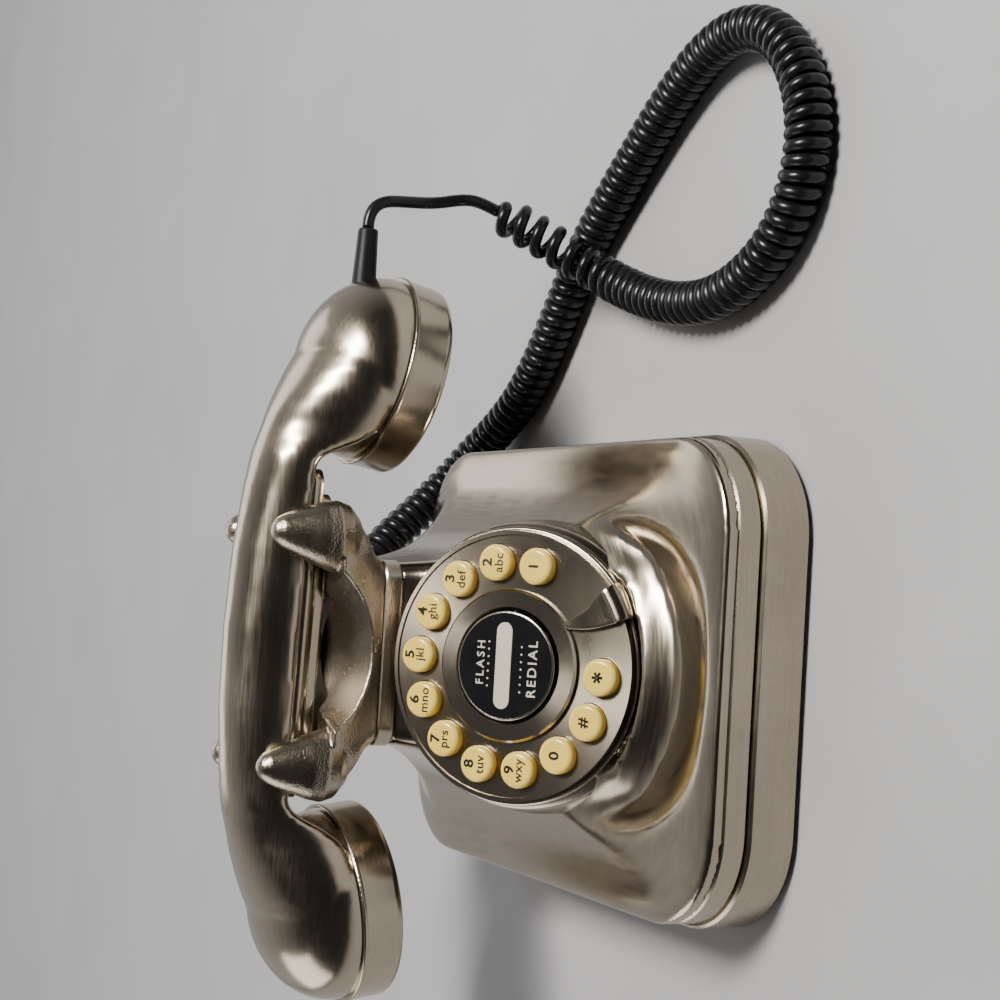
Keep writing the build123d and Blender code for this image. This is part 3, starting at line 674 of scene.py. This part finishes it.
# height, distances from the cradle's two centre lines and half sizes of a horn and its foot, mm
HORN_SECTIONS = [
    (83.0, 22.5, 16.5, 9.0, 4.0),
    (86.5, 27.4, 19.5, 11.0, 5.0),
    (90.0, 31.4, 22.0, 12.3, 7.2),
    (94.0, 34.3, 23.6, 13.1, 8.9),
    (98.4, 36.8, 24.4, 11.8, 9.2),
    (103.0, 37.2, 24.3, 10.5, 8.3),
    (108.0, 37.4, 23.8, 8.5, 6.9),
    (112.5, 37.6, 23.2, 6.7, 5.8),
    (116.0, 37.7, 22.8, 5.1, 4.8),
    (118.3, 37.7, 22.7, 3.3, 3.2),
    (119.3, 37.7, 22.7, 1.3, 1.3),
]


def horn_rings(side_x, side_y, steps=36):
    """Rings of one horn, from its foot to its tip, all wound the same way."""
    rings = []
    for z, x, y, half_x, half_y in HORN_SECTIONS:
        ring = []
        for k in range(steps):
            angle = tau * k / steps
            across = side_x * (x + half_x * cos(angle))
            forward = NECK_Y + side_y * (y + half_y * sin(angle))
            ring.append((across * MM, forward * MM, z * MM))
        rings.append(ring if side_x * side_y > 0 else ring[::-1])
    return rings


def cradle_skin(voxel):
    """Bowl, scoops and four horns as one casting."""
    made = bmesh.new()
    made.from_mesh(frame["nodes"]["cradle"].data)
    for side_x in (-1, 1):
        for side_y in (-1, 1):
            lofted(made, horn_rings(side_x, side_y))
    piece = remeshed("cradle_skin", made, voxel, 45)
    finish_piece(piece, "base", PEARL)
    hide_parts("cradle")


# distance from the middle, crest, underside and half width, mm in the handset's own frame
HANDLE_STATIONS = [
    (0.0, 125.2, 105.4, 16.3),
    (26.0, 124.4, 105.4, 16.5),
    (46.0, 122.3, 105.4, 17.3),
    (54.5, 121.0, 105.3, 18.5),
    (57.5, 120.5, 104.0, 19.2),
    (59.5, 120.1, 101.0, 19.9),
    (61.5, 119.6, 96.5, 20.8),
    (64.0, 118.9, 91.5, 22.2),
    (68.0, 117.7, 86.5, 24.4),
    (73.0, 116.2, 85.0, 27.0),
    (79.0, 113.9, 85.0, 29.4),
    (86.0, 110.9, 85.0, 30.3),
    (92.0, 108.0, 85.0, 29.4),
    (98.0, 104.2, 85.0, 26.5),
    (102.0, 101.0, 85.0, 23.0),
]


def handle_size(x):
    """Crest, underside and half width of the handle at a distance from its middle."""
    columns = list(zip(*HANDLE_STATIONS))
    return [float(np.interp(abs(x), columns[0], column)) for column in columns[1:]]


def add_loft(made, sections, matrix):
    """Loft sections, put them in place and add them to a form."""
    part = bmesh.new()
    lofted(part, sections)
    part.transform(matrix)
    spare = bpy.data.meshes.new("part")
    part.to_mesh(spare)
    part.free()
    made.from_mesh(spare)
    bpy.data.meshes.remove(spare)


def lofted(made, sections):
    """Add a closed skin through sections that have the same number of points."""
    rings = [[made.verts.new(p) for p in section] for section in sections]
    count = len(rings[0])
    for near, far in zip(rings, rings[1:]):
        for k in range(count):
            after = (k + 1) % count
            made.faces.new((near[k], near[after], far[after], far[k]))
    made.faces.new(list(reversed(rings[0])))
    made.faces.new(rings[-1])


def handle_section(x):
    """Arch over a flat underside, across the handle at a distance from its middle."""
    crest, under, half = handle_size(x)
    points = []
    for k in range(33):
        angle = pi * k / 32
        points.append((x, NECK_Y - half * cos(angle), under + (crest - under) * sin(angle)))
    return points + [(x, NECK_Y + half * (1 - k / 6), under) for k in range(1, 12)]


def dome_sections():
    """Rings of one flattened half ball, from its skirt inside the cap to its top."""
    profile = [(DOME_R, -DOME_SKIRT)]
    for level in range(25):
        angle = radians(89.5) * level / 24
        profile.append((DOME_R * cos(angle), 26.0 * sin(angle)))
    return [[(r * cos(tau * k / 96), r * sin(tau * k / 96), z) for k in range(96)] for r, z in profile]


DOME_REACH = 45.0


def held_at_rims(points):
    """Held near the planes where the caps screw on."""
    weight = np.ones(len(points))
    for side in (-1, 1):
        inverse = np.array((Matrix.Scale(1000, 4) @ cap_matrix(side)).inverted())
        local = points @ inverse[:3, :3].T + inverse[:3, 3]
        near = np.hypot(local[:, 0], local[:, 1]) < DOME_REACH
        weight = np.where(near, weight * fade(local[:, 2], 0.3, 3.0), weight)
    return weight


def lower_edge(side):
    """Line of the shell's lower edge on one face, down over both ends to the caps."""
    xs = np.linspace(-67.5, 67.5, 240)
    line = []
    for x in xs:
        _, under, half = handle_size(x)
        line.append(Vector((x, NECK_Y + side * (half - 0.25), under + 0.35)))
    for _ in range(6):
        inner = [(a + b * 2 + c) / 4 for a, b, c in zip(line, line[1:], line[2:])]
        line = [line[0]] + inner + [line[-1]]
    return line


def underside_panel():
    """Recessed strip closing the handle from below."""
    sections = []
    for z, grow in ((100.0, -0.8), (100.6, 0.0), (105.9, 0.0)):
        half_x, half_y, r = 54.0 + grow, 14.4 + grow, 5.0
        ring = []
        for quarter, (sx, sy) in enumerate(((1, 1), (-1, 1), (-1, -1), (1, -1))):
            for k in range(7):
                angle = pi / 2 * (quarter + k / 6)
                x, y = sx * (half_x - r) + r * cos(angle), sy * (half_y - r) + r * sin(angle)
                ring.append((x, NECK_Y + y, z))
        sections.append(ring)
    return sections


def handset_skin(voxel):
    """Handle and both domes as one smooth hollow shell, with its thin lower lip."""
    made = bmesh.new()
    add_loft(made, [handle_section(-102 + 2.0 * k) for k in range(103)], handset_matrix())
    for side in (-1, 1):
        add_loft(made, dome_sections(), cap_matrix(side))
    piece = remeshed("handset_skin", made, voxel, 60, held_at_rims)
    wall = piece.modifiers.new("wall", "SOLIDIFY")
    wall.thickness = 2.2 * MM
    wall.offset = -1
    applied(piece)
    whole = bmesh.new()
    whole.from_mesh(piece.data)
    add_loft(whole, underside_panel(), handset_matrix())
    for side in (-1, 1):
        lip = tube_mesh("lip", lower_edge(side), 0.55, 8)
        lip.transform(handset_matrix() @ Matrix.Scale(1000, 4))
        whole.from_mesh(lip)
    whole.to_mesh(piece.data)
    whole.free()
    finish_piece(piece, "handset", NICKEL_ALONG)
    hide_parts("handset_shell")


def cap_skin(side, name):
    """Screw-on cap of one end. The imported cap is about 3 mm off its seat, so this one is moved on to it."""
    to_mm = Matrix.Scale(1000, 4)
    handset = to_mm @ handset_matrix()
    own = handset.inverted() @ to_mm @ cap_matrix(side)
    seat = handset @ own @ handset.inverted() @ own.inverted()
    mesh = frame["nodes"][name].data.copy()
    mesh.transform(to_mm.inverted() @ seat @ to_mm)
    cap = add_piece(name + "_skin", mesh, "handset", NICKEL_CAP)
    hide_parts(name)


def metal_skins():
    coarse = 1.0
    body_skin(0.9 * coarse)
    cradle_skin(0.5 * coarse)
    handset_skin(0.85 * coarse)
    cap_skin(-1, "ear_cap")
    cap_skin(1, "mouth_cap")


def dial_rim():
    """Stepped rim of the drum, round the dial plate, wider towards the front where it meets the cove."""
    corners = [(38.9, -2.1), (42.2, -2.05), (42.9, -2.6), (42.9, -3.7), (42.3, -4.2), (42.6, -4.7),
               (43.5, -5.1), (44.2, -6.0), (44.6, -8.0), (45.2, -11.0), (41.0, -11.0), (38.9, -6.0)]
    rounds = [0, 0.25, 0.4, 0.4, 0.2, 0.2, 0.5, 0.9, 0.9, 0, 0, 0]
    mesh = revolved("dial_rim", smooth_profile(corners, rounds), 240, Matrix.Identity(4))
    for vertex in mesh.vertices:
        flare = ease(0.15 - vertex.co.y / 46.0) * ease((-vertex.co.z - 4.9) / 2.5)
        low = ease((-vertex.co.z - 8.5) / 2.5)
        vertex.co.xy *= 1 + (0.03 + 0.05 * low) * flare
        vertex.co.z -= 6.0 * flare * low
    mesh.transform(dial_matrix())
    rim = add_piece("dial_rim", mesh, "base", DIAL_RING)
    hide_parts("dial_bezel_ring")


def finger_stop():
    """Fixed blade from the inner ring to the rim, with its end folded down over the edge."""
    left = [(12.6, -19.6), (12.5, -23.0), (12.8, -26.8), (13.5, -30.2), (14.3, -33.0), (15.2, -35.9)]
    right = [(16.1, -21.5), (17.2, -23.9), (19.1, -26.4), (21.0, -27.8), (23.0, -29.2), (24.6, -30.6)]
    made = bmesh.new()
    rows = []
    for (x0, y0), (x1, y1) in zip(left, right):
        steps = [k / 8 for k in range(9)]
        row = [made.verts.new((x0 + (x1 - x0) * t, y0 + (y1 - y0) * t, 1.5)) for t in steps]
        rows.append(row)
    for radius, z in ((39.6, 1.95), (40.6, 1.8), (42.3, 0.8), (43.5, -0.9), (43.9, -3.2)):
        ends = []
        for k in range(9):
            angle = radians(-67.0 + 15.5 * k / 8)
            ends.append(made.verts.new((radius * cos(angle), radius * sin(angle), z)))
        rows.append(ends)
    for near, far in zip(rows, rows[1:]):
        for k in range(8):
            made.faces.new((near[k], far[k], far[k + 1], near[k + 1]))
    mesh = bpy.data.meshes.new("finger_stop_blade")
    made.to_mesh(mesh)
    made.free()
    mesh.transform(dial_matrix())
    piece = bpy.data.objects.new("finger_stop_blade", mesh)
    bpy.context.scene.collection.objects.link(piece)
    wall = piece.modifiers.new("wall", "SOLIDIFY")
    wall.thickness = 1.1 * MM
    wall.offset = 0
    edge = piece.modifiers.new("edge", "BEVEL")
    edge.width = 0.25 * MM
    edge.segments = 2
    edge.limit_method = "ANGLE"
    applied(piece)
    finish_piece(piece, "base", STOP_METAL)
    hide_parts("finger_stop")


def button_edge():
    """Bright turned edge round the black disc."""
    corners = [(16.15, 2.5), (16.15, 3.12), (16.75, 2.9), (16.78, 2.2), (16.4, 2.2)]
    rounds = [0, 0.12, 0.3, 0.1, 0]
    mesh = revolved("button_edge", smooth_profile(corners, rounds), 120, dial_matrix())
    add_piece("button_edge", mesh, "center_button", EDGE_METAL)


# ---------------------------------------------------------------- lettering
def lettering(name, text, size, place, body, material, bold=0.0, spacing=1.0, wide=1.0):
    """Flat raised print on the dial. place is its middle, in mm on the dial."""
    curve = bpy.data.curves.new(name, "FONT")
    curve.body = text
    curve.size = size
    curve.offset = bold
    curve.space_character = spacing
    curve.extrude = 0.05
    curve.resolution_u = 4
    holder = bpy.data.objects.new(name, curve)
    bpy.context.scene.collection.objects.link(holder)
    mesh = bpy.data.meshes.new_from_object(holder)
    bpy.data.objects.remove(holder)
    bpy.data.curves.remove(curve)
    xs = [v.co.x for v in mesh.vertices]
    ys = [v.co.y for v in mesh.vertices]
    middle = Vector(((min(xs) + max(xs)) / 2, (min(ys) + max(ys)) / 2, 0))
    stretch = Matrix.Diagonal((wide, 1, 1, 1))
    mesh.transform(dial_matrix() @ Matrix.Translation(place) @ stretch @ Matrix.Translation(-middle))
    mesh.name = name
    return add_piece(name, mesh, body, material)


KEY_LABELS = [
    ("1", "1", ""),
    ("2", "2", "abc"),
    ("3", "3", "def"),
    ("4", "4", "ghi"),
    ("5", "5", "jkl"),
    ("6", "6", "mno"),
    ("7", "7", "prs"),
    ("8", "8", "tuv"),
    ("9", "9", "wxy"),
    ("0", "0", ""),
    ("hash", "#", ""),
    ("star", "*", ""),
]


def asterisk(name, place, body, arms=6):
    """Bold six-armed star printed on its key."""
    outline = []
    for arm in range(arms):
        turn = Matrix.Rotation(tau * (arm + 0.5) / arms, 2)
        for x, y in ((1.75, -0.46), (1.75, 0.46), (0.62, 0.36)):
            outline.append(turn @ Vector((x, y)))
    count = len(outline)
    points = [(*p, -0.05) for p in outline] + [(*p, 0.05) for p in outline]
    faces = [tuple(range(count, 2 * count)), tuple(reversed(range(count)))]
    faces += [(k, (k + 1) % count, count + (k + 1) % count, count + k) for k in range(count)]
    mesh = mesh_from(name, points, faces, dial_matrix() @ Matrix.Translation(place))
    return add_piece(name, mesh, body, INK)


def key_labels():
    for index, (key, digit, letters) in enumerate(KEY_LABELS):
        angle = radians(KEY_START + index * KEY_STEP)
        x, y = KEY_CIRCLE_R * cos(angle), KEY_CIRCLE_R * sin(angle)
        rise = 2.35 if letters else 0.3
        place = Vector((x, y + rise, KEY_TOP + 0.02))
        if digit == "*":
            asterisk(f"label_{key}", place, f"key_{key}")
        else:
            lettering(f"label_{key}", digit, 4.5, place, f"key_{key}", INK, 0.13, 1.0, 1.15)
        if letters:
            place = Vector((x, y - 1.75, KEY_TOP + 0.02))
            lettering(f"letters_{key}", letters, 4.2, place, f"key_{key}", INK, 0.05, 1.05)


def dot_row(name, left, right, y, count=7):
    """Row of small round dots on the black disc."""
    made = bmesh.new()
    for index in range(count):
        x = left + (right - left) * index / (count - 1)
        place = Matrix.Translation((x, y, 3.03))
        bmesh.ops.create_cone(made, cap_ends=True, segments=16, radius1=0.36, radius2=0.3, depth=0.08,
                              matrix=place)
    mesh = bpy.data.meshes.new(name)
    made.to_mesh(mesh)
    made.free()
    mesh.transform(dial_matrix())
    add_piece(name, mesh, "center_button", PRINT)


def button_print():
    lettering("print_flash", "FLASH", 3.75, Vector((0.5, 8.75, 3.03)), "center_button", PRINT, 0.05, 1.42)
    lettering("print_redial", "REDIAL", 4.3, Vector((-0.4, -9.3, 3.03)), "center_button", PRINT, 0.06, 1.3)
    dot_row("dots_upper", -6.5, 7.0, 6.0)
    dot_row("dots_lower", -7.7, 6.0, -5.4)


# ---------------------------------------------------------------- cord
def curly_cord():
    line = cord_line()
    mesh = tube_mesh("curly_cord", line, WIRE_D / 2 - 0.02)
    cord = add_piece("curly_cord", mesh, None, CORD_BLACK)
    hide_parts("cord_lead", "cord_coil", "cord_tail")
    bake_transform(cord)


# ---------------------------------------------------------------- camera, light and floor
def camera():
    data = bpy.data.cameras.new("camera")
    data.lens = 69.15
    data.sensor_width = 36.0
    data.clip_start = 0.01
    eye = bpy.data.objects.new("camera", data)
    down = Vector((0.05897, -0.44477, -0.89371))
    right = Vector((0.99745, -0.00991, 0.07075))
    back = Vector((-0.04033, -0.8956, 0.44305))
    turn = Matrix((down, right, back)).transposed().to_4x4()
    eye.matrix_world = Matrix.Translation((0.0267, -0.5567, 0.3263)) @ turn
    bpy.context.scene.collection.objects.link(eye)
    bpy.context.scene.camera = eye


def area_light(name, place, target, width, height, power, colour):
    data = bpy.data.lights.new(name, "AREA")
    data.shape = "RECTANGLE"
    data.size = width
    data.size_y = height
    data.energy = power
    data.color = colour
    lamp = bpy.data.objects.new(name, data)
    aim = (Vector(target) - Vector(place)).to_track_quat("-Z", "Y")
    lamp.matrix_world = Matrix.Translation(place) @ aim.to_matrix().to_4x4()
    bpy.context.scene.collection.objects.link(lamp)


def lights():
    area_light("window", (0.70, -0.40, 1.34), (0, 0, 0.06), 0.34, 0.6, 42, (1.0, 0.97, 0.92))
    area_light("left_wall", (-1.3, 0.35, 0.55), (0, 0.05, 0.06), 0.9, 0.9, 7, (1.0, 0.99, 0.97))
    area_light("back_wall", (0.3, 1.3, 0.8), (0, 0, 0.06), 1.4, 0.7, 6, (1.0, 0.99, 0.97))


def surroundings():
    """Studio: pale behind and above, dim on the caller's side."""
    world = bpy.data.worlds.new("studio")
    world.use_nodes = True
    bpy.context.scene.world = world
    tree = world.node_tree
    background = tree.nodes["Background"]
    source = tree.nodes.new("ShaderNodeTexCoord")
    split = tree.nodes.new("ShaderNodeSeparateXYZ")
    tree.links.new(source.outputs["Generated"], split.inputs[0])
    colour = blend_colour(tree, split.outputs["Y"], (0.035, 0.034, 0.033), (0.5, 0.5, 0.51), -0.2, 0.75)
    tree.links.new(colour, background.inputs["Color"])
    background.inputs["Strength"].default_value = 1.0


def floor():
    made = bmesh.new()
    bmesh.ops.create_grid(made, x_segments=2, y_segments=2, size=2.5)
    mesh = bpy.data.meshes.new("floor")
    made.to_mesh(mesh)
    made.free()
    piece = bpy.data.objects.new("floor", mesh)
    bpy.context.scene.collection.objects.link(piece)
    material, tree, shader = new_material("floor")
    clouds = noise(tree, coordinates(tree), 12.0, 3.0, 0.5)
    tree.links.new(blend_colour(tree, clouds, (0.37, 0.37, 0.38), (0.40, 0.40, 0.41)),
                   shader.inputs["Base Color"])
    shader.inputs["Roughness"].default_value = 0.8
    mesh.materials.append(material)


camera()
lights()
surroundings()
floor()
dress_cad_nodes()
curly_cord()
metal_skins()
dial_rim()
finger_stop()
button_edge()
key_labels()
button_print()
